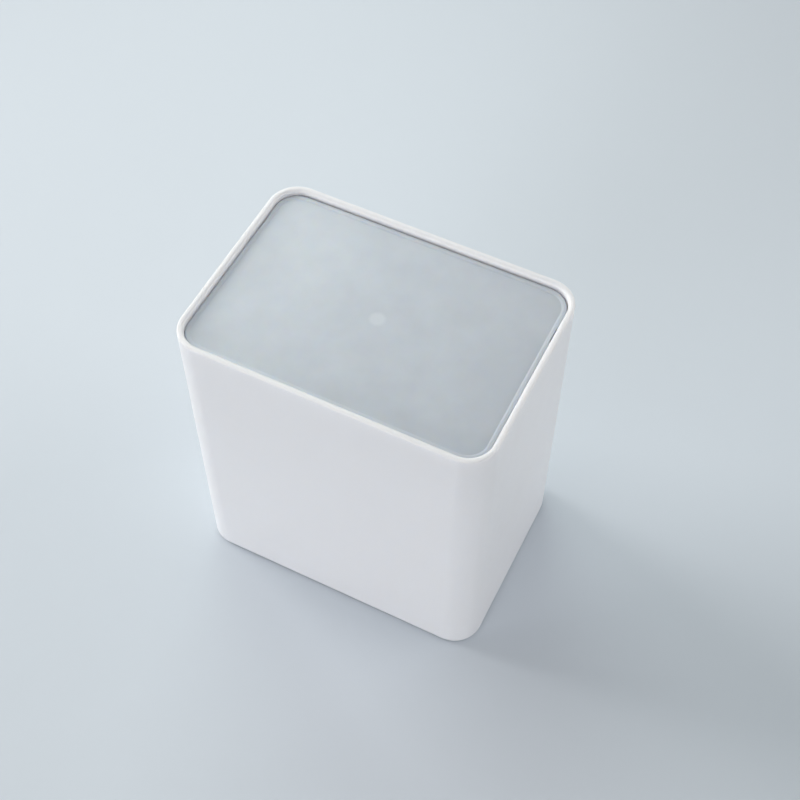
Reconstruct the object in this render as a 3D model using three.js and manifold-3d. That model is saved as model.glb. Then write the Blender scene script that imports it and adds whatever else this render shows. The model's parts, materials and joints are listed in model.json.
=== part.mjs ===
// A counter-top storage case with a see-saw lid, in millimetres, +Z up.
// Origin: the centre of the footprint, on the surface that the foot pads stand on.
// +Y is the rear, where the lid is pressed down so that its front edge swings up.

import * as THREE from 'three';
import { mergeVertices } from 'three/addons/utils/BufferGeometryUtils.js';
import Module from 'manifold-3d';

const wasm = await Module();
wasm.setup();

// Case, moulded in one piece
const caseWidth = 100;
const caseDepth = 70;
const caseHeight = 110;
const caseCornerRadius = 9.5;
const wallThickness = 2;
const wallTaper = 0.4;
const floorThickness = 2.2;
const floorCornerRadius = 2.5;
const baseEdgeRadius = 0.6;
const rimOuterRadius = 0.5;
const rimInnerRadius = 1;

// Underside of the case
const baseRecessLand = 0.75;
const baseRecessCornerRadius = 5;
const baseRecessDepth = 0.5;
const gateWellRadius = 4;
const gateWellDepth = 0.4;
const gateStubRadius = 1;
const gateStubHeight = 0.3;

// Foot pads, stuck into round pockets
const padRadius = 4;
const padThickness = 1.3;
const padProud = 0.5;
const padEdgeRadius = 0.3;
const padInset = 10;
const padPocketClearance = 0.25;
const padGlueFilm = 0.1;

// Lid panel: a frosted plate with a raised bead round its top and a skirt under it
const lidRecess = 2;
const lidSideGap = 0.2;
const lidPlateThickness = 1.6;
const lidBeadHeight = 0.3;
const lidBeadTopWidth = 0.4;
const lidBeadSlopeWidth = 0.9;
const lidEdgeRadius = 0.3;
const lidLipWidth = 2;
const lidSkirtThickness = 1.2;
const lidSkirtTaper = 0.2;
const lidSkirtDepth = 4.5;
const lidSkirtEdgeRadius = 0.3;
const lidSkirtRootRadius = 0.6;
const lidGateRadius = 2.5;
const lidGateHeight = 0.4;
const lidNotchDepth = 0.3;

// See-saw pivot: two steel pins held by the lid, turning in open-topped ribs of the case
const pivotSetback = 16;
const pinRadius = 1;
const pinChamfer = 0.2;
const pinGrip = 4;
const pinEndGap = 0.3;
const pinFitGap = 0.02;
const pinBossWall = 1.2;
const slotClearance = 0.1;
const slotSnap = 0.2;
const slotFlare = 0.7;
const pivotRibWall = 1.25;
const pivotRibSideGap = 0.3;
const pivotReliefGap = 0.4;
const pivotReliefWeb = 0.3;
const swingClearance = 0.15;

// Ribs that carry the front edge of the closed lid
const restRibWidth = 2;
const restRibProud = 1.4;
const restRibSpacing = 60;
const restRibGap = 0.1;
const restRibTopRadius = 0.5;

// One overrun serves every cut and every buried root
const overrun = 1;

// Facet counts
const cornerSegments = 8;
const filletSegments = 3;
const roundSegments = 24;

// Worked out from the sizes above
const baseZ = padProud;
const floorZ = baseZ + floorThickness;
const ribRootZ = floorZ - floorThickness / 2;
const innerHalfWidth = caseWidth / 2 - wallThickness;
const innerHalfDepth = caseDepth / 2 - wallThickness;
const lidTopZ = caseHeight - lidRecess;
const lidUndersideZ = lidTopZ - lidPlateThickness;
const baseRecessMargin = padInset + padRadius + padPocketClearance + baseRecessLand;

// The pivot lies as high as the lip allows: over the rib's head the lip keeps a thin web.
// The tipped lid stops where its lip lands on the rib's post, a little past 60 degrees.
const slotRadius = pinRadius + slotClearance;
const pivotRibRadius = slotRadius + pivotRibWall;
const pivotReliefRadius = pivotRibRadius + pivotReliefGap;
const pivotDrop = pivotReliefRadius + pivotReliefWeb - lidPlateThickness;
const pivotY = innerHalfDepth - pivotSetback;
const pivotZ = lidUndersideZ - pivotDrop;

// The rear edge rises no further from the pivot than the rear wall allows as the lid tips.
const beadCrest = pivotDrop + lidPlateThickness + lidBeadHeight;
const swingRadius = pivotSetback - swingClearance - lidEdgeRadius;
const lidRearReach = Math.sqrt(swingRadius ** 2 - (beadCrest - lidEdgeRadius) ** 2) + lidEdgeRadius;
const lidFrontReach = pivotY + innerHalfDepth - lidSideGap;
const lidWidth = 2 * (innerHalfWidth - lidSideGap);
const lidDepth = lidFrontReach + lidRearReach;
const lidCentreY = (lidRearReach - lidFrontReach) / 2;
const lidCornerRadius = caseCornerRadius - wallThickness - lidSideGap;
const skirtOuterX = lidWidth / 2 - lidLipWidth;

// White moulded plastic, the frosted lid, plain steel and soft pale pads
const casePlastic = new THREE.MeshStandardMaterial({ color: 0xf0f0f2, roughness: 0.45, metalness: 0 });
const lidPlastic = new THREE.MeshStandardMaterial({
  color: 0xc9d2d8,
  roughness: 0.6,
  metalness: 0,
  transparent: true,
  opacity: 0.7,
});
const pinSteel = new THREE.MeshStandardMaterial({ color: 0xb9bcc0, roughness: 0.3, metalness: 1 });
const padRubber = new THREE.MeshStandardMaterial({ color: 0xd9dcdd, roughness: 0.8, metalness: 0 });

// Outline of a rectangle with round corners, anticlockwise, always with the same number of points.
function roundedOutline(width, depth, radius) {
  const points = [];
  const corners = [[1, 1], [-1, 1], [-1, -1], [1, -1]];
  corners.forEach(([sideX, sideY], corner) => {
    const centreX = sideX * (width / 2 - radius);
    const centreY = sideY * (depth / 2 - radius);
    for (let step = 0; step <= cornerSegments; step++) {
      const angle = (corner + step / cornerSegments) * Math.PI / 2;
      points.push([centreX + radius * Math.cos(angle), centreY + radius * Math.sin(angle)]);
    }
  });
  return points;
}

// Closed skin through a stack of rings, each the same outline drawn in by its inset and set at z.
// Its first and last rings are filled in. It may fold back through itself to leave a hollow.
function loftRings(width, depth, radius, rings) {
  const count = 4 * (cornerSegments + 1);
  const positions = [];
  const indices = [];
  rings.forEach(([inset, z]) => {
    const outline = roundedOutline(width - 2 * inset, depth - 2 * inset, radius - inset);
    outline.forEach(([x, y]) => positions.push(x, y, z));
  });
  for (let ring = 0; ring < rings.length - 1; ring++) {
    for (let step = 0; step < count; step++) {
      const next = (step + 1) % count;
      const low = ring * count;
      const high = low + count;
      indices.push(low + step, low + next, high + next);
      indices.push(low + step, high + next, high + step);
    }
  }
  const last = (rings.length - 1) * count;
  for (let step = 1; step < count - 1; step++) {
    indices.push(0, step + 1, step);
    indices.push(last, last + step, last + step + 1);
  }
  const geometry = new THREE.BufferGeometry();
  geometry.setAttribute('position', new THREE.Float32BufferAttribute(positions, 3));
  geometry.setIndex(indices);
  return geometry;
}

// Quarter-round run of rings about a centre, from one angle to another, both in quarter turns.
// Angle 0 points outwards, away from the middle of the outline, and angle 1 points up.
function fillet(centreInset, centreZ, radius, from, to) {
  const rings = [];
  for (let step = 0; step <= filletSegments; step++) {
    const angle = (from + (to - from) * step / filletSegments) * Math.PI / 2;
    rings.push([centreInset - radius * Math.cos(angle), centreZ + radius * Math.sin(angle)]);
  }
  return rings;
}

// Round shoulder up from the plate to the bead, steepest at the plate and level at the bead.
function beadSlope(startInset, width, fromZ, height) {
  const rings = [];
  for (let step = 0; step <= filletSegments; step++) {
    const share = step / filletSegments;
    const rise = height * Math.sin(share * Math.PI / 2);
    rings.push([startInset + width * (1 - share), fromZ + rise]);
  }
  return rings;
}

function toSolid(geometry) {
  const plain = geometry.clone();
  plain.deleteAttribute('normal');
  plain.deleteAttribute('uv');
  const merged = mergeVertices(plain);
  return new wasm.Manifold(new wasm.Mesh({
    numProp: 3,
    vertProperties: new Float32Array(merged.attributes.position.array),
    triVerts: new Uint32Array(merged.index.array),
  }));
}

function toGeometry(solid) {
  const mesh = solid.getMesh();
  const geometry = new THREE.BufferGeometry();
  geometry.setAttribute('position', new THREE.BufferAttribute(mesh.vertProperties, 3));
  geometry.setIndex(new THREE.BufferAttribute(mesh.triVerts, 1));
  geometry.computeVertexNormals();
  return geometry;
}

// Extrudes a shape drawn in Y and Z along X, between two places on X.
function extrudeAlongX(shape, fromX, toX, curveSegments) {
  const depth = toX - fromX;
  const geometry = new THREE.ExtrudeGeometry(shape, { depth, bevelEnabled: false, curveSegments });
  const yAxis = new THREE.Vector3(0, 1, 0);
  const zAxis = new THREE.Vector3(0, 0, 1);
  const xAxis = new THREE.Vector3(1, 0, 0);
  geometry.applyMatrix4(new THREE.Matrix4().makeBasis(yAxis, zAxis, xAxis));
  geometry.translate(fromX, 0, 0);
  return geometry;
}

// The same on the right side, or mirrored on the left, for a shape that is alike front and rear.
function extrudeAtSide(side, shape, innerX, outerX, curveSegments) {
  return side > 0
    ? extrudeAlongX(shape, innerX, outerX, curveSegments)
    : extrudeAlongX(shape, -outerX, -innerX, curveSegments);
}

// Upright round plug or hole, between two heights.
function upright(radius, fromZ, toZ) {
  const geometry = new THREE.CylinderGeometry(radius, radius, toZ - fromZ, roundSegments);
  geometry.rotateX(Math.PI / 2);
  geometry.translate(0, 0, (fromZ + toZ) / 2);
  return geometry;
}

function disc(radius) {
  const shape = new THREE.Shape();
  shape.absarc(0, 0, radius, 0, 2 * Math.PI, false);
  return shape;
}

// Skin of the case: up the outside, over the rim, down the tapered inside to the floor.
function caseShell() {
  const baseEdgeZ = baseZ + baseEdgeRadius;
  const floorInset = wallThickness + wallTaper;
  return loftRings(caseWidth, caseDepth, caseCornerRadius, [
    ...fillet(baseEdgeRadius, baseEdgeZ, baseEdgeRadius, -1, 0),
    ...fillet(rimOuterRadius, caseHeight - rimOuterRadius, rimOuterRadius, 0, 1),
    ...fillet(wallThickness - rimInnerRadius, caseHeight - rimInnerRadius, rimInnerRadius, 1, 2),
    ...fillet(floorInset + floorCornerRadius, floorZ + floorCornerRadius, floorCornerRadius, 0, -1),
  ]);
}

// Rib seen from the side: a round head on a straight post, with a snap-in slot open at the top.
function pivotRibShape() {
  const throatHalfWidth = pinRadius - slotSnap;
  const throatAngle = Math.acos(throatHalfWidth / slotRadius);
  const mouthAngle = Math.acos((throatHalfWidth + slotFlare) / pivotRibRadius);
  const footZ = ribRootZ - pivotZ;
  const shape = new THREE.Shape();
  shape.moveTo(-pivotRibRadius, footZ);
  shape.lineTo(pivotRibRadius, footZ);
  shape.absarc(0, 0, pivotRibRadius, 0, mouthAngle, false);
  shape.absarc(0, 0, slotRadius, throatAngle, Math.PI - throatAngle, true);
  shape.absarc(0, 0, pivotRibRadius, Math.PI - mouthAngle, Math.PI, false);
  shape.closePath();
  return shape;
}

function pivotRib(side) {
  const faceX = skirtOuterX + pivotRibSideGap;
  const rootX = innerHalfWidth + wallThickness / 2;
  const geometry = extrudeAtSide(side, pivotRibShape(), faceX, rootX, roundSegments / 2);
  return geometry.translate(0, pivotY, pivotZ);
}

// Rib on the front wall that the closed lid's lip lies on, rounded over its inner top edge.
function restRib(x) {
  const faceY = -innerHalfDepth + restRibProud;
  const rootY = -innerHalfDepth - wallThickness / 2;
  const topZ = lidUndersideZ - restRibGap;
  const shape = new THREE.Shape();
  shape.moveTo(rootY, ribRootZ);
  shape.lineTo(faceY, ribRootZ);
  shape.absarc(faceY - restRibTopRadius, topZ - restRibTopRadius, restRibTopRadius, 0, Math.PI / 2, false);
  shape.lineTo(rootY, topZ);
  shape.closePath();
  return extrudeAlongX(shape, x - restRibWidth / 2, x + restRibWidth / 2, filletSegments);
}

function padPlaces() {
  const x = caseWidth / 2 - padInset;
  const y = caseDepth / 2 - padInset;
  return [
    ['foot_pad_front_left', -x, -y],
    ['foot_pad_front_right', x, -y],
    ['foot_pad_rear_left', -x, y],
    ['foot_pad_rear_right', x, y],
  ];
}

// Shallow panel in the underside, pad pockets, and the well round the moulding gate.
function undersideCuts() {
  const recessTopZ = baseZ + baseRecessDepth;
  const recess = loftRings(
    caseWidth - 2 * baseRecessMargin,
    caseDepth - 2 * baseRecessMargin,
    baseRecessCornerRadius,
    [[0, baseZ - overrun], [0, recessTopZ]],
  );
  const well = toSolid(upright(gateWellRadius, baseZ - overrun, recessTopZ + gateWellDepth));
  let cuts = toSolid(recess).add(well);
  const pocketTopZ = padThickness + padGlueFilm;
  padPlaces().forEach(([, x, y]) => {
    const pocket = upright(padRadius + padPocketClearance, baseZ - overrun, pocketTopZ);
    cuts = cuts.add(toSolid(pocket.translate(x, y, 0)));
  });
  return cuts;
}

function caseBody() {
  let body = toSolid(caseShell());
  [-1, 1].forEach((side) => {
    body = body.add(toSolid(pivotRib(side)));
    body = body.add(toSolid(restRib(side * restRibSpacing / 2)));
  });
  body = body.subtract(undersideCuts());
  const wellTopZ = baseZ + baseRecessDepth + gateWellDepth;
  body = body.add(toSolid(upright(gateStubRadius, wellTopZ - gateStubHeight, wellTopZ + overrun)));
  return new THREE.Mesh(toGeometry(body), casePlastic);
}

// Plate, bead, lip and skirt as one folded skin, in the lid's own frame about the pivot.
function lidShell() {
  const topZ = pivotDrop + lidPlateThickness;
  const slopeStart = lidEdgeRadius + lidBeadTopWidth;
  const skirtFootZ = pivotDrop - lidSkirtDepth;
  const skirtFootInset = lidLipWidth + lidSkirtTaper;
  const skirtInnerInset = lidLipWidth + lidSkirtThickness;
  const edge = lidSkirtEdgeRadius;
  const rings = [
    ...beadSlope(slopeStart, lidBeadSlopeWidth, topZ, lidBeadHeight),
    ...fillet(lidEdgeRadius, beadCrest - lidEdgeRadius, lidEdgeRadius, 1, 0),
    [0, pivotDrop],
    [lidLipWidth, pivotDrop],
    ...fillet(skirtFootInset + edge, skirtFootZ + edge, edge, 0, -1),
    ...fillet(skirtInnerInset - edge, skirtFootZ + edge, edge, -1, -2),
    ...fillet(skirtInnerInset + lidSkirtRootRadius, pivotDrop - lidSkirtRootRadius, lidSkirtRootRadius, 0, 1),
  ];
  const skin = loftRings(lidWidth, lidDepth, lidCornerRadius, rings.reverse());
  return skin.translate(0, lidCentreY, 0);
}

// Boss under the plate, inside the skirt, that grips one pin.
function pinBoss(side) {
  const outerX = skirtOuterX - lidSkirtThickness / 2;
  const innerX = skirtOuterX - pinGrip - pinBossWall;
  const radius = pinRadius + pinBossWall;
  const shape = new THREE.Shape();
  shape.moveTo(-radius, pivotDrop + lidPlateThickness / 2);
  shape.absarc(0, 0, radius, Math.PI, 2 * Math.PI, false);
  shape.lineTo(radius, pivotDrop + lidPlateThickness / 2);
  shape.closePath();
  return extrudeAtSide(side, shape, innerX, outerX, roundSegments / 2);
}

function pinHole(side) {
  const deepX = skirtOuterX - pinGrip;
  const openX = lidWidth / 2 + overrun;
  return extrudeAtSide(side, disc(pinRadius + pinFitGap), deepX, openX, roundSegments);
}

// Round clearance under the lip, where the head of the pivot rib stands.
function lipRelief(side) {
  const openX = lidWidth / 2 + overrun;
  return extrudeAtSide(side, disc(pivotReliefRadius), skirtOuterX, openX, roundSegments);
}

// Shallow notch through the lid's edge above the pivot, as long as the relief is wide.
function edgeNotch(side) {
  const edgeX = lidWidth / 2;
  const end = pivotReliefRadius;
  const bend = end - lidNotchDepth;
  const shape = new THREE.Shape();
  shape.moveTo(edgeX + overrun, -end);
  shape.lineTo(edgeX, -end);
  shape.absarc(edgeX, -bend, lidNotchDepth, -Math.PI / 2, -Math.PI, true);
  shape.absarc(edgeX, bend, lidNotchDepth, Math.PI, Math.PI / 2, true);
  shape.lineTo(edgeX + overrun, end);
  shape.closePath();
  const geometry = new THREE.ExtrudeGeometry(shape, {
    depth: beadCrest + overrun,
    bevelEnabled: false,
    curveSegments: filletSegments,
  });
  return side > 0 ? geometry : geometry.rotateZ(Math.PI);
}

function lidPanel() {
  let lid = toSolid(lidShell());
  const gateTopZ = pivotDrop + lidPlateThickness / 2;
  const gate = upright(lidGateRadius, pivotDrop - lidGateHeight, gateTopZ);
  lid = lid.add(toSolid(gate.translate(0, lidCentreY, 0)));
  [-1, 1].forEach((side) => {
    lid = lid.add(toSolid(pinBoss(side)));
    lid = lid.subtract(toSolid(lipRelief(side)));
    lid = lid.subtract(toSolid(edgeNotch(side)));
    lid = lid.subtract(toSolid(pinHole(side)));
  });
  return new THREE.Mesh(toGeometry(lid), lidPlastic);
}

// Plain dowel with chamfered ends, gripped by the lid and reaching into a rib's slot.
function pivotPin(side) {
  const fromX = skirtOuterX - pinGrip + pinFitGap;
  const toX = innerHalfWidth - pinEndGap;
  const length = toX - fromX;
  const neck = pinRadius - pinChamfer;
  const profile = [
    new THREE.Vector2(0, 0),
    new THREE.Vector2(neck, 0),
    new THREE.Vector2(pinRadius, pinChamfer),
    new THREE.Vector2(pinRadius, length - pinChamfer),
    new THREE.Vector2(neck, length),
    new THREE.Vector2(0, length),
  ];
  const mesh = new THREE.Mesh(new THREE.LatheGeometry(profile, roundSegments), pinSteel);
  mesh.rotation.z = -side * Math.PI / 2;
  mesh.position.x = side * fromX;
  return mesh;
}

function footPad() {
  const profile = [new THREE.Vector2(0, 0)];
  for (let step = 0; step <= filletSegments; step++) {
    const angle = (step / filletSegments - 1) * Math.PI / 2;
    profile.push(new THREE.Vector2(
      padRadius - padEdgeRadius + padEdgeRadius * Math.cos(angle),
      padEdgeRadius + padEdgeRadius * Math.sin(angle),
    ));
  }
  profile.push(new THREE.Vector2(padRadius, padThickness));
  profile.push(new THREE.Vector2(0, padThickness));
  const geometry = new THREE.LatheGeometry(profile, roundSegments);
  geometry.rotateX(Math.PI / 2);
  return new THREE.Mesh(geometry, padRubber);
}

function named(mesh, name) {
  mesh.name = name;
  return mesh;
}

const storageCase = new THREE.Group();
storageCase.add(named(caseBody(), 'case_body'));
padPlaces().forEach(([name, x, y]) => {
  const pad = named(footPad(), name);
  pad.position.set(x, y, 0);
  storageCase.add(pad);
});

const seesaw = new THREE.Group();
seesaw.position.set(0, pivotY, pivotZ);
seesaw.add(named(lidPanel(), 'lid_panel'));
seesaw.add(named(pivotPin(-1), 'pivot_pin_left'));
seesaw.add(named(pivotPin(1), 'pivot_pin_right'));
storageCase.add(seesaw);

export default storageCase;
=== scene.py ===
import json
from math import acos, cos, pi, radians, sin

import bmesh
import bpy
from mathutils import Matrix, Vector


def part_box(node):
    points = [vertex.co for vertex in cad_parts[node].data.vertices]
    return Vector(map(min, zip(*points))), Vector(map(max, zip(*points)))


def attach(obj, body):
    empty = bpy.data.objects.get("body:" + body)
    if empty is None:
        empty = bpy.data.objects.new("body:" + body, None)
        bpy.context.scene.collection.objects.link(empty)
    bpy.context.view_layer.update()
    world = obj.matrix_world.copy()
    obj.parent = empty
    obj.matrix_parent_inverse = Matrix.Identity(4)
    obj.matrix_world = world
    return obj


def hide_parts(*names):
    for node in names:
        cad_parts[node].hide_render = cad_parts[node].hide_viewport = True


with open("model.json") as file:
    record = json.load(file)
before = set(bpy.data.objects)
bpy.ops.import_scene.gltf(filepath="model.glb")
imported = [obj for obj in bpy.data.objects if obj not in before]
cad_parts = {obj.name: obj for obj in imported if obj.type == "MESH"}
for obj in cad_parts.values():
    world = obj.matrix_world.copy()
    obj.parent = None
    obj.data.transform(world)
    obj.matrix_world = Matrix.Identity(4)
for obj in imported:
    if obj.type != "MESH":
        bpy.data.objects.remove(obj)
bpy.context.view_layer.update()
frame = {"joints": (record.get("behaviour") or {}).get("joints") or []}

mm = 0.001

# what the frame says: the case, the lid, its pivot and the pads
caseLow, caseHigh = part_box("case_body")
lidLow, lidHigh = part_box("lid_panel")
pivot = Vector(frame["joints"][0]["pos_m"])
print("frame read: pivot at", tuple(round(v, 5) for v in pivot))


# camera: where the photograph was taken from, and the length of its lens

cameraSettings = {
    "azimuth": 26.244,  # degrees, 0 looks along +Y
    "elevation": 54.902,
    "roll": -0.308,
    "distance": 434.9 * mm,
    "target": (5.45 * mm, 3.87 * mm, 65.89 * mm),
    "lens": 62.55,
    "sensor": 36.0,
    "clipStart": 10 * mm,
}


def makeCamera(s):
    azimuth, elevation, roll = (radians(s[key]) for key in ("azimuth", "elevation", "roll"))
    back = Vector((sin(azimuth) * cos(elevation), -cos(azimuth) * cos(elevation), sin(elevation)))
    level = Vector((cos(azimuth), sin(azimuth), 0))
    upright = back.cross(level)
    right = cos(roll) * level - sin(roll) * upright
    up = sin(roll) * level + cos(roll) * upright
    place = Vector(s["target"]) + back * s["distance"]
    data = bpy.data.cameras.new("photoCamera")
    data.sensor_fit = "HORIZONTAL"
    data.sensor_width = s["sensor"]
    data.lens = s["lens"]
    data.clip_start = s["clipStart"]
    camera = bpy.data.objects.new("photoCamera", data)
    turn = Matrix((right, up, back)).transposed().to_4x4()
    camera.matrix_world = Matrix.Translation(place) @ turn
    bpy.context.scene.collection.objects.link(camera)
    bpy.context.scene.camera = camera


makeCamera(cameraSettings)
print("camera placed")


# mesh tools shared by all pieces

meshSettings = {
    "corner": 20,  # steps in a quarter turn of the case's upright corners
    "fillet": 6,
    "round": 48,
    "sharpAngle": 38,  # degrees: folds sharper than this stay crisp
}


def meshObject(name, points, faces):
    mesh = bpy.data.meshes.new(name)
    mesh.from_pydata(points, [], faces)
    body = bmesh.new()
    body.from_mesh(mesh)
    bmesh.ops.recalc_face_normals(body, faces=body.faces)
    body.to_mesh(mesh)
    body.free()
    piece = bpy.data.objects.new(name, mesh)
    bpy.context.scene.collection.objects.link(piece)
    return piece


def roundedOutline(width, depth, radius):
    points = []
    steps = meshSettings["corner"]
    for corner, (sideX, sideY) in enumerate(((1, 1), (-1, 1), (-1, -1), (1, -1))):
        for step in range(steps + 1):
            angle = (corner + step / steps) * pi / 2
            x = sideX * (width / 2 - radius) + radius * cos(angle)
            y = sideY * (depth / 2 - radius) + radius * sin(angle)
            points.append((x, y))
    return points


def loft(name, width, depth, radius, rings, centreY=0):  # rings hold an inset and a height each
    points = []
    for inset, z in rings:
        outline = roundedOutline(width - 2 * inset, depth - 2 * inset, radius - inset)
        points += [(x, y + centreY, z) for x, y in outline]
    count = 4 * (meshSettings["corner"] + 1)
    faces = [range(count), range((len(rings) - 1) * count, len(rings) * count)]
    for ring in range(len(rings) - 1):
        for step in range(count):
            low = ring * count
            after = (step + 1) % count
            faces.append((low + step, low + after, low + count + after, low + count + step))
    return meshObject(name, points, faces)


def fillet(inset, z, radius, start, end):  # quarter turns: 0 points outwards and 1 up
    steps = meshSettings["fillet"]
    angles = [(start + (end - start) * step / steps) * pi / 2 for step in range(steps + 1)]
    return [(inset - radius * cos(angle), z + radius * sin(angle)) for angle in angles]


def arc(radius, start, end, steps, centre=(0, 0)):
    angles = [start + (end - start) * step / steps for step in range(steps + 1)]
    return [(centre[0] + radius * cos(angle), centre[1] + radius * sin(angle)) for angle in angles]


def prism(name, outline, low, high, axis="z"):  # outline in X and Y, or in Y and Z for axis x
    count = len(outline)
    if axis == "x":
        points = [(end, u, v) for end in (low, high) for u, v in outline]
    else:
        points = [(u, v, end) for end in (low, high) for u, v in outline]
    faces = [range(count), range(count, 2 * count)]
    for step in range(count):
        after = (step + 1) % count
        faces.append((step, after, count + after, count + step))
    return meshObject(name, points, faces)


def lathe(name, profile, axis="z"):  # profile holds radii and heights, from axis to axis
    steps = meshSettings["round"]
    rim = profile[1:-1]
    points = [(0, 0, profile[0][1]), (0, 0, profile[-1][1])]
    for radius, z in rim:
        points += [(x, y, z) for x, y in arc(radius, 0, 2 * pi, steps)[:-1]]
    faces = []
    for step in range(steps):
        after = (step + 1) % steps
        faces.append((0, 2 + after, 2 + step))
        last = 2 + (len(rim) - 1) * steps
        faces.append((1, last + step, last + after))
        for ring in range(len(rim) - 1):
            low = 2 + ring * steps
            faces.append((low + step, low + after, low + steps + after, low + steps + step))
    if axis == "x":
        points = [(z, x, y) for x, y, z in points]
    return meshObject(name, points, faces)


def combine(piece, tool, operation):
    change = piece.modifiers.new("change", "BOOLEAN")
    change.operation = operation
    change.solver = "EXACT"
    change.object = tool
    bpy.context.view_layer.update()
    graph = bpy.context.evaluated_depsgraph_get()
    mesh = bpy.data.meshes.new_from_object(piece.evaluated_get(graph))
    piece.modifiers.clear()
    used = [piece.data, tool.data]
    piece.data = mesh
    bpy.data.objects.remove(tool)
    for old in used:
        bpy.data.meshes.remove(old)


def moved(piece, x=0, y=0, z=0):
    piece.data.transform(Matrix.Translation((x, y, z)))
    return piece


def smoothed(piece):  # soft over the small steps, crisp at real edges
    mesh = piece.data
    mesh.polygons.foreach_set("use_smooth", [True] * len(mesh.polygons))
    mesh.set_sharp_from_angle(angle=radians(meshSettings["sharpAngle"]))
    even = piece.modifiers.new("evenNormals", "WEIGHTED_NORMAL")
    even.keep_sharp = True
    return piece


def dress(piece, body, slot, material, *nodes):
    piece.data.materials.clear()
    piece.data.materials.append(material)
    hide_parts(*nodes)
    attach(piece, body)


# material tools shared by all finishes

def newMaterial(name):
    material = bpy.data.materials.new(name)
    material.use_nodes = True
    tree = material.node_tree
    return material, tree, tree.nodes["Principled BSDF"]


def addNode(tree, kind, values=None, **options):
    node = tree.nodes.new(kind)
    for key, value in options.items():
        setattr(node, key, value)
    for key, value in (values or {}).items():
        node.inputs[key].default_value = value
    return node


def noise(tree, place, scale, detail):
    values = {"Scale": scale, "Detail": detail, "Roughness": 0.5}
    node = addNode(tree, "ShaderNodeTexNoise", values)
    tree.links.new(place, node.inputs["Vector"])
    return node.outputs["Fac"]


def spread(tree, value, low, high, fromLow=0.3, fromHigh=0.7):  # maps a noise to a range
    values = {"From Min": fromLow, "From Max": fromHigh, "To Min": low, "To Max": high}
    node = addNode(tree, "ShaderNodeMapRange", values)
    tree.links.new(value, node.inputs["Value"])
    return node.outputs["Result"]


def blendColours(tree, factor, first, second):
    node = addNode(tree, "ShaderNodeMix", data_type="RGBA")
    tree.links.new(factor, node.inputs["Factor"])
    for socket, colour in (("A", first), ("B", second)):
        target = [item for item in node.inputs if item.name == socket and item.type == "RGBA"][0]
        if isinstance(colour, tuple):
            target.default_value = (*colour, 1)
        else:
            tree.links.new(colour, target)
    return [item for item in node.outputs if item.type == "RGBA"][0]


def bump(tree, height, depth, strength, under=None):
    node = addNode(tree, "ShaderNodeBump", {"Distance": depth, "Strength": strength})
    tree.links.new(height, node.inputs["Height"])
    if under:
        tree.links.new(under, node.inputs["Normal"])
    return node.outputs["Normal"]


def ownPlace(tree):  # the piece's own coordinates, in metres
    return addNode(tree, "ShaderNodeTexCoord").outputs["Object"]


# case: one white moulding, with ribs inside and a panel, pockets and gate well underneath

caseSettings = {
    "cornerRadius": 9.5 * mm,
    "wall": 2 * mm,
    "wallTaper": 0.4 * mm,
    "floor": 2.2 * mm,
    "floorCorner": 2.5 * mm,
    "baseEdge": 0.6 * mm,
    "rimOuter": 0.5 * mm,
    "rimInner": 1 * mm,
    "recessMargin": 15 * mm,
    "recessCorner": 5 * mm,
    "recessDepth": 0.5 * mm,
    "wellRadius": 4 * mm,
    "wellDepth": 0.4 * mm,
    "stubRadius": 1 * mm,
    "stubHeight": 0.3 * mm,
    "white": (0.772, 0.774, 0.802),
    "whiteWarm": (0.758, 0.757, 0.781),
    "drift": 22,  # sizes of the noises, per metre
    "sheen": 140,
    "peel": 260,
    "grain": 3200,
    "peelDepth": 0.03 * mm,
    "peelStrength": 0.35,
    "grainDepth": 0.012 * mm,
    "grainStrength": 0.5,
    "roughness": (0.3, 0.36),
    "ior": 1.5,
    "glow": 0.8,  # share of the light that spreads inside the wall, and how far by colour
    "glowColour": (1, 0.95, 0.9),
    "glowDepth": 2.8 * mm,
}

ribSettings = {
    "slotRadius": 1.1 * mm,
    "headRadius": 2.35 * mm,
    "throat": 0.8 * mm,  # half widths of the snap-in slot
    "mouth": 1.5 * mm,
    "faceX": 46.1 * mm,
    "restWidth": 2 * mm,
    "restProud": 1.4 * mm,
    "restSpacing": 60 * mm,
    "restTopGap": 0.1 * mm,
    "restTopRadius": 0.5 * mm,
}

lidSettings = {
    "sideGap": 0.2 * mm,
    "plate": 1.6 * mm,
    "beadHeight": 0.3 * mm,
    "beadTop": 0.4 * mm,
    "beadSlope": 0.9 * mm,
    "edge": 0.3 * mm,
    "lip": 2 * mm,
    "skirt": 1.2 * mm,
    "skirtTaper": 0.2 * mm,
    "skirtEdge": 0.3 * mm,
    "skirtRoot": 0.6 * mm,
    "gateRadius": 2.5 * mm,
    "gateHeight": 0.4 * mm,
    "notch": 0.3 * mm,
    "relief": 2.75 * mm,
    "holeRadius": 1.02 * mm,
    "bossRadius": 2.2 * mm,
    "bossReach": 5.2 * mm,
    "holeReach": 4 * mm,
    # the two lid colours below are one colour in painted shade and in painted light
    "tint": (0.615, 0.66, 0.727),
    "tintLit": (0.742, 0.80, 0.867),
    "gateTint": (0.82, 0.86, 0.915),
    "litX": -26 * mm,  # painted light: palest left of the middle, painted shade darkening it to the right
    "shadedX": 50 * mm,
    "litShare": 1.14,
    "shadedShare": 0.26,
    "cloud": 34,  # sizes of the noises, per metre
    "cloudSmall": 120,
    "sheen": 90,
    "grain": 2600,
    "cloudShare": 0.22,
    "cloudSmallShare": 0.14,
    "grainDepth": 0.02 * mm,
    "grainStrength": 0.6,
    "gateShare": 0.55,
    "gateFade": (0.7, 1.15),  # times the gate's radius
    "roughness": (0.5, 0.6),
    "ior": 1.49,
    "seeThrough": 0.18,
    "glow": 0.6,
    "glowColour": (1, 0.75, 0.5),
    "glowDepth": 1.4 * mm,
}

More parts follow.
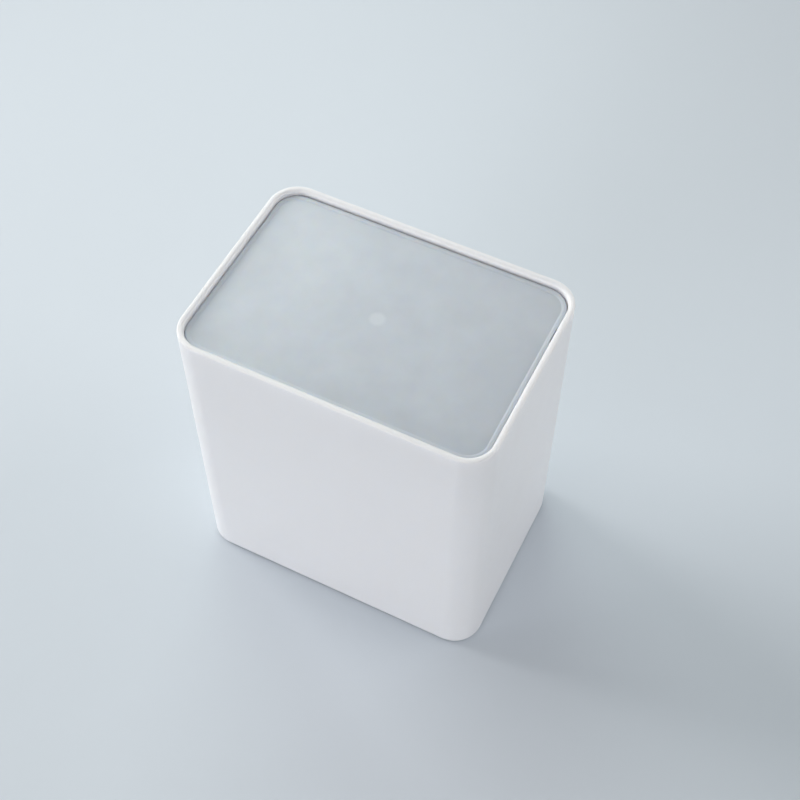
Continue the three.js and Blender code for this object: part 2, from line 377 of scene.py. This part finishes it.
padSettings = {
    "radius": 4 * mm,
    "edge": 0.3 * mm,
    "pocketGap": 0.25 * mm,
    "glue": 0.1 * mm,
    "colour": (0.55, 0.56, 0.57),
    "colourWorn": (0.48, 0.485, 0.49),
    "wear": 900,  # sizes of the noises, per metre
    "sheen": 700,
    "grain": 5000,
    "grainDepth": 0.01 * mm,
    "grainStrength": 0.6,
    "roughness": (0.7, 0.85),
}

overrun = 1 * mm
lidPlateTop = lidHigh.z - lidSettings["beadHeight"]
lidUnderside = lidPlateTop - lidSettings["plate"]
lidCentreY = (lidLow.y + lidHigh.y) / 2
skirtX = lidHigh.x - lidSettings["lip"]
innerX = caseHigh.x - caseSettings["wall"]
innerY = caseHigh.y - caseSettings["wall"]
floorTop = caseLow.z + caseSettings["floor"]
padNodes = ["foot_pad_front_left", "foot_pad_front_right", "foot_pad_rear_left", "foot_pad_rear_right"]


def padCentre(node):
    low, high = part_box(node)
    return (low + high) / 2


def caseSkin(s):
    base, top = caseLow.z, caseHigh.z
    floorInset = s["wall"] + s["wallTaper"]
    rings = fillet(s["baseEdge"], base + s["baseEdge"], s["baseEdge"], -1, 0)
    rings += fillet(s["rimOuter"], top - s["rimOuter"], s["rimOuter"], 0, 1)
    rings += fillet(s["wall"] - s["rimInner"], top - s["rimInner"], s["rimInner"], 1, 2)
    rings += fillet(floorInset + s["floorCorner"], floorTop + s["floorCorner"], s["floorCorner"], 0, -1)
    width, depth = caseHigh.x - caseLow.x, caseHigh.y - caseLow.y
    return loft("caseShell", width, depth, s["cornerRadius"], rings)


def pivotRib(side, s):
    throatAngle = acos(s["throat"] / s["slotRadius"])
    mouthAngle = acos(s["mouth"] / s["headRadius"])
    root = floorTop - caseSettings["floor"] / 2 - pivot.z
    steps = meshSettings["round"] // 2
    outline = [(-s["headRadius"], root), (s["headRadius"], root)]
    outline += arc(s["headRadius"], 0, mouthAngle, steps)
    outline += arc(s["slotRadius"], throatAngle, -pi - throatAngle, steps)
    outline += arc(s["headRadius"], pi - mouthAngle, pi, steps)
    ends = sorted((side * s["faceX"], side * (innerX + caseSettings["wall"] / 2)))
    return moved(prism("pivotRib", outline, *ends, axis="x"), y=pivot.y, z=pivot.z)


def restRib(x, s):
    face = -innerY + s["restProud"]
    root = -innerY - caseSettings["wall"] / 2
    top = lidUnderside - s["restTopGap"]
    foot = floorTop - caseSettings["floor"] / 2
    centre = (face - s["restTopRadius"], top - s["restTopRadius"])
    outline = [(root, foot), (face, foot)]
    outline += arc(s["restTopRadius"], 0, pi / 2, meshSettings["fillet"], centre)
    outline.append((root, top))
    return prism("restRib", outline, x - s["restWidth"] / 2, x + s["restWidth"] / 2, axis="x")


def rod(name, radius, low, high, axis="z"):
    return prism(name, arc(radius, 0, 2 * pi, meshSettings["round"])[:-1], low, high, axis)


def caseShell(s):
    shell = caseSkin(s)
    for side in (-1, 1):
        combine(shell, pivotRib(side, ribSettings), "UNION")
        combine(shell, restRib(side * ribSettings["restSpacing"] / 2, ribSettings), "UNION")
    recessTop = caseLow.z + s["recessDepth"]
    wellTop = recessTop + s["wellDepth"]
    width = caseHigh.x - caseLow.x - 2 * s["recessMargin"]
    depth = caseHigh.y - caseLow.y - 2 * s["recessMargin"]
    under = caseLow.z - overrun
    recess = loft("recess", width, depth, s["recessCorner"], [(0, under), (0, recessTop)])
    combine(shell, recess, "DIFFERENCE")
    combine(shell, rod("well", s["wellRadius"], under, wellTop), "DIFFERENCE")
    for node in padNodes:
        centre = padCentre(node)
        radius = padSettings["radius"] + padSettings["pocketGap"]
        pocket = rod("pocket", radius, under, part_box(node)[1].z + padSettings["glue"])
        combine(shell, moved(pocket, centre.x, centre.y), "DIFFERENCE")
    stub = rod("stub", s["stubRadius"], wellTop - s["stubHeight"], wellTop + overrun)
    combine(shell, stub, "UNION")
    return smoothed(shell)


def casePlastic(s):
    material, tree, shader = newMaterial("satinWhitePlastic")
    place = ownPlace(tree)
    drift = spread(tree, noise(tree, place, s["drift"], detail=3), 0, 1)
    tree.links.new(blendColours(tree, drift, s["white"], s["whiteWarm"]), shader.inputs["Base Color"])
    sheen = spread(tree, noise(tree, place, s["sheen"], detail=4), *s["roughness"])
    tree.links.new(sheen, shader.inputs["Roughness"])
    wavy = bump(tree, noise(tree, place, s["peel"], detail=1), s["peelDepth"], s["peelStrength"])
    grain = noise(tree, place, s["grain"], detail=2)
    grainy = bump(tree, grain, s["grainDepth"], s["grainStrength"], wavy)
    tree.links.new(grainy, shader.inputs["Normal"])
    shader.inputs["IOR"].default_value = s["ior"]
    shader.inputs["Subsurface Weight"].default_value = s["glow"]
    shader.inputs["Subsurface Radius"].default_value = s["glowColour"]
    shader.inputs["Subsurface Scale"].default_value = s["glowDepth"]
    return material


dress(caseShell(caseSettings), "case", "case_plastic", casePlastic(caseSettings), "case_body")
print("case moulded")


# lid: a frosted plate with a bead round its top, and a skirt and pin bosses under it

def lidSkin(s):
    top, foot = lidPlateTop, lidLow.z
    edge, inner = s["skirtEdge"], s["lip"] + s["skirt"]
    steps = meshSettings["fillet"]
    rings = []
    for step in range(steps + 1):  # round shoulder, steepest at the plate
        share = step / steps
        inset = s["edge"] + s["beadTop"] + s["beadSlope"] * (1 - share)
        rings.append((inset, top + s["beadHeight"] * sin(share * pi / 2)))
    rings += fillet(s["edge"], lidHigh.z - s["edge"], s["edge"], 1, 0)
    rings += [(0, lidUnderside), (s["lip"], lidUnderside)]
    rings += fillet(s["lip"] + s["skirtTaper"] + edge, foot + edge, edge, 0, -1)
    rings += fillet(inner - edge, foot + edge, edge, -1, -2)
    rings += fillet(inner + s["skirtRoot"], lidUnderside - s["skirtRoot"], s["skirtRoot"], 0, 1)
    radius = caseSettings["cornerRadius"] - caseSettings["wall"] - s["sideGap"]
    return loft("lidPanel", lidHigh.x - lidLow.x, lidHigh.y - lidLow.y, radius, rings, lidCentreY)


def pinBoss(side, s):
    top = lidUnderside + s["plate"] / 2 - pivot.z
    outline = [(-s["bossRadius"], top)]
    outline += arc(s["bossRadius"], pi, 2 * pi, meshSettings["round"] // 2)
    outline.append((s["bossRadius"], top))
    ends = sorted((side * (skirtX - s["bossReach"]), side * (skirtX - s["skirt"] / 2)))
    return moved(prism("pinBoss", outline, *ends, axis="x"), y=pivot.y, z=pivot.z)


def edgeNotch(side, s):
    edge, end, depth = lidHigh.x, s["relief"], s["notch"]
    outline = [(edge + overrun, -end)]
    outline += arc(depth, -pi / 2, -pi, meshSettings["fillet"], (edge, depth - end))
    outline += arc(depth, pi, pi / 2, meshSettings["fillet"], (edge, end - depth))
    outline.append((edge + overrun, end))
    outline = [(side * x, y) for x, y in outline]
    return moved(prism("edgeNotch", outline, pivot.z, lidHigh.z + overrun), y=pivot.y)


def lidPanel(s):
    lid = lidSkin(s)
    gateTop = lidUnderside + s["plate"] / 2
    gate = rod("gate", s["gateRadius"], lidUnderside - s["gateHeight"], gateTop)
    combine(lid, moved(gate, y=lidCentreY), "UNION")
    for side in (-1, 1):
        combine(lid, pinBoss(side, s), "UNION")
        openX = lidHigh.x + overrun
        relief = rod("relief", s["relief"], *sorted((side * skirtX, side * openX)), axis="x")
        combine(lid, moved(relief, y=pivot.y, z=pivot.z), "DIFFERENCE")
        combine(lid, edgeNotch(side, s), "DIFFERENCE")
        deepX = skirtX - s["holeReach"]
        hole = rod("hole", s["holeRadius"], *sorted((side * deepX, side * openX)), axis="x")
        combine(lid, moved(hole, y=pivot.y, z=pivot.z), "DIFFERENCE")
    return smoothed(lid)


def lidPlastic(s):
    material, tree, shader = newMaterial("frostedLidPlastic")
    place = ownPlace(tree)
    across = addNode(tree, "ShaderNodeSeparateXYZ")
    tree.links.new(place, across.inputs["Vector"])
    # painted light and shade: lit palest left of the middle, painted shade darkening the lid to the
    # right; the clouds below are random tone
    pale = spread(tree, across.outputs["X"], s["litShare"], s["shadedShare"], s["litX"], s["shadedX"])
    for scale, share in ((s["cloud"], s["cloudShare"]), (s["cloudSmall"], s["cloudSmallShare"])):
        clouds = addNode(tree, "ShaderNodeMath", operation="SUBTRACT")
        tree.links.new(pale, clouds.inputs[0])
        tree.links.new(spread(tree, noise(tree, place, scale, detail=3), 0, 2 * share), clouds.inputs[1])
        pale = clouds.outputs["Value"]
    body = blendColours(tree, pale, s["tint"], s["tintLit"])
    shift = addNode(tree, "ShaderNodeVectorMath", operation="SUBTRACT")
    shift.inputs[1].default_value = (0, lidCentreY, lidPlateTop)
    tree.links.new(place, shift.inputs[0])
    length = addNode(tree, "ShaderNodeVectorMath", operation="LENGTH")
    tree.links.new(shift.outputs["Vector"], length.inputs[0])
    fade = [s["gateRadius"] * share for share in s["gateFade"]]
    gate = spread(tree, length.outputs["Value"], s["gateShare"], 0, *fade)
    tree.links.new(blendColours(tree, gate, body, s["gateTint"]), shader.inputs["Base Color"])
    sheen = spread(tree, noise(tree, place, s["sheen"], detail=4), *s["roughness"])
    tree.links.new(sheen, shader.inputs["Roughness"])
    grainy = bump(tree, noise(tree, place, s["grain"], detail=3), s["grainDepth"], s["grainStrength"])
    tree.links.new(grainy, shader.inputs["Normal"])
    shader.inputs["IOR"].default_value = s["ior"]
    shader.inputs["Transmission Weight"].default_value = s["seeThrough"]
    shader.inputs["Subsurface Weight"].default_value = s["glow"]
    shader.inputs["Subsurface Radius"].default_value = s["glowColour"]
    shader.inputs["Subsurface Scale"].default_value = s["glowDepth"]
    return material


dress(lidPanel(lidSettings), "lid", "lid_plastic", lidPlastic(lidSettings), "lid_panel")
print("lid moulded")


# pins: ground steel dowels with chamfered ends

pinSettings = {
    "chamfer": 0.2 * mm,
    "steel": (0.60, 0.61, 0.62),
    "steelDark": (0.50, 0.51, 0.52),
    "lines": (6000, 400, 400),  # grinding lines per metre: close along the pin, long around it
    "linesDepth": 0.004 * mm,
    "linesStrength": 0.5,
    "roughness": (0.22, 0.38),
}


def pivotPin(node, s):
    low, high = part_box(node)
    radius = (high.z - low.z) / 2
    neck = radius - s["chamfer"]
    profile = [(0, low.x), (neck, low.x), (radius, low.x + s["chamfer"])]
    profile += [(radius, high.x - s["chamfer"]), (neck, high.x), (0, high.x)]
    return smoothed(moved(lathe(node + "_dowel", profile, axis="x"), y=pivot.y, z=pivot.z))


def pinSteel(s):
    material, tree, shader = newMaterial("groundSteel")
    stretch = addNode(tree, "ShaderNodeMapping", {"Scale": s["lines"]})
    tree.links.new(ownPlace(tree), stretch.inputs["Vector"])
    lines = noise(tree, stretch.outputs["Vector"], 1, detail=3)
    dark = spread(tree, lines, 0, 1)
    tree.links.new(blendColours(tree, dark, s["steel"], s["steelDark"]), shader.inputs["Base Color"])
    tree.links.new(spread(tree, lines, *s["roughness"]), shader.inputs["Roughness"])
    tree.links.new(bump(tree, lines, s["linesDepth"], s["linesStrength"]), shader.inputs["Normal"])
    shader.inputs["Metallic"].default_value = 1
    return material


steel = pinSteel(pinSettings)
for node in ("pivot_pin_left", "pivot_pin_right"):
    dress(pivotPin(node, pinSettings), "lid", "pin_steel", steel, node)
print("pins turned")


# foot pads: soft pale discs with a rounded lower edge

def footPad(node, s):
    low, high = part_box(node)
    centre = padCentre(node)
    profile = [(0, low.z)]
    edgeCentre = (s["radius"] - s["edge"], low.z + s["edge"])
    profile += arc(s["edge"], -pi / 2, 0, meshSettings["fillet"], edgeCentre)
    profile += [(s["radius"], high.z), (0, high.z)]
    return smoothed(moved(lathe(node + "_disc", profile), centre.x, centre.y))


def padRubber(s):
    material, tree, shader = newMaterial("softPadRubber")
    place = ownPlace(tree)
    worn = spread(tree, noise(tree, place, s["wear"], detail=4), 0, 1)
    tree.links.new(blendColours(tree, worn, s["colour"], s["colourWorn"]), shader.inputs["Base Color"])
    sheen = spread(tree, noise(tree, place, s["sheen"], detail=3), *s["roughness"])
    tree.links.new(sheen, shader.inputs["Roughness"])
    grainy = bump(tree, noise(tree, place, s["grain"], detail=2), s["grainDepth"], s["grainStrength"])
    tree.links.new(grainy, shader.inputs["Normal"])
    return material


rubber = padRubber(padSettings)
for node in padNodes:
    dress(footPad(node, padSettings), "case", "pad_rubber", rubber, node)
print("pads cut")


# floor, world and lamps: a plain pale counter in soft light, strongest from the left

stageSettings = {
    "floorSize": 6,
    "floorColour": (0.682, 0.741, 0.808),
    "floorColourDrift": (0.663, 0.718, 0.783),
    "floorDrift": 2.5,  # sizes of the noises, per metre
    "floorSheen": 60,
    "floorRoughness": (0.75, 0.85),
    "floorSpecular": 0.2,
    "backdrop": (0.70, 0.76, 0.80),
    "skyColour": (0.985, 0.994, 1),
    "skyRight": 0.692,  # strength at the horizon on the right, none from above or the left
}

lampSettings = {  # spreads in degrees, narrow enough to leave no hot spots on the floor
    "window": {"place": (-1.3, 0.1, 0.7), "size": (0.8, 0.8), "spread": 90,
               "power": 3.88, "colour": (0.985, 0.969, 0.935)},
    "left": {"place": (-0.6, -0.2, 0.42), "size": (0.5, 0.6), "spread": 90,
             "power": 0.25, "colour": (1, 0.97, 0.93)},
    "high": {"place": (-0.35, 0.45, 0.6), "size": (0.5, 0.6), "spread": 90,
             "power": 0.66, "colour": (0.93, 1, 0.95)},
    "right": {"place": (1.3, 0.7, 0.45), "size": (1.2, 0.9), "spread": 90,
              "power": 2.27, "colour": (1, 0.982, 0.949)},
    "rear": {"place": (0.1, 1.3, 0.7), "size": (1.2, 0.6), "spread": 90,
             "power": 0.56, "colour": (0.973, 0.987, 1)},
    "front": {"place": (-0.3, -1.6, 0.35), "size": (1.6, 0.5), "spread": 60,
              "power": 2.52, "colour": (1, 1, 1)},
}


def makeFloor(s):
    half = s["floorSize"] / 2
    corners = [(-half, -half, 0), (half, -half, 0), (half, half, 0), (-half, half, 0)]
    floor = meshObject("counter", corners, [(0, 1, 2, 3)])
    material, tree, shader = newMaterial("counterTop")
    place = ownPlace(tree)
    drift = spread(tree, noise(tree, place, s["floorDrift"], detail=2), 0, 1)
    colour = blendColours(tree, drift, s["floorColour"], s["floorColourDrift"])
    sheen = spread(tree, noise(tree, place, s["floorSheen"], detail=3), *s["floorRoughness"])
    tree.links.new(colour, shader.inputs["Base Color"])
    tree.links.new(sheen, shader.inputs["Roughness"])
    shader.inputs["Specular IOR Level"].default_value = s["floorSpecular"]
    floor.data.materials.append(material)


def makeWorld(s):
    world = bpy.data.worlds.new("softRoom")
    world.use_nodes = True
    bpy.context.scene.world = world
    tree = world.node_tree
    sky = tree.nodes["Background"]
    sky.inputs["Color"].default_value = (*s["skyColour"], 1)
    direction = addNode(tree, "ShaderNodeSeparateXYZ")
    tree.links.new(addNode(tree, "ShaderNodeTexCoord").outputs["Generated"], direction.inputs["Vector"])
    tree.links.new(spread(tree, direction.outputs["X"], 0, s["skyRight"], 0, 1), sky.inputs["Strength"])
    pale = addNode(tree, "ShaderNodeBackground", {"Color": (*s["backdrop"], 1), "Strength": 1})
    rays = addNode(tree, "ShaderNodeLightPath")
    seen = addNode(tree, "ShaderNodeMath", operation="MAXIMUM")
    tree.links.new(rays.outputs["Is Camera Ray"], seen.inputs[0])
    tree.links.new(rays.outputs["Is Glossy Ray"], seen.inputs[1])
    through = addNode(tree, "ShaderNodeMath", operation="MAXIMUM")
    tree.links.new(seen.outputs["Value"], through.inputs[0])
    tree.links.new(rays.outputs["Is Transmission Ray"], through.inputs[1])
    choice = addNode(tree, "ShaderNodeMixShader")
    tree.links.new(through.outputs["Value"], choice.inputs["Fac"])
    tree.links.new(sky.outputs["Background"], choice.inputs[1])
    tree.links.new(pale.outputs["Background"], choice.inputs[2])
    tree.links.new(choice.outputs["Shader"], tree.nodes["World Output"].inputs["Surface"])


def makeLamp(name, s):
    data = bpy.data.lights.new(name, "AREA")
    data.shape = "RECTANGLE"
    data.size, data.size_y = s["size"]
    data.spread = radians(s["spread"])
    data.energy = s["power"]
    data.color = s["colour"]
    lamp = bpy.data.objects.new(name, data)
    place = Vector(s["place"])
    towards = Vector((0, 0, caseHigh.z / 2)) - place  # the middle of the case
    turn = towards.to_track_quat("-Z", "Y").to_matrix().to_4x4()
    lamp.matrix_world = Matrix.Translation(place) @ turn
    lamp.visible_camera = False
    bpy.context.scene.collection.objects.link(lamp)


makeFloor(stageSettings)
makeWorld(stageSettings)
for name, settings in lampSettings.items():
    makeLamp(name, settings)
bpy.context.scene.view_settings.view_transform = "Standard"
print("stage lit")
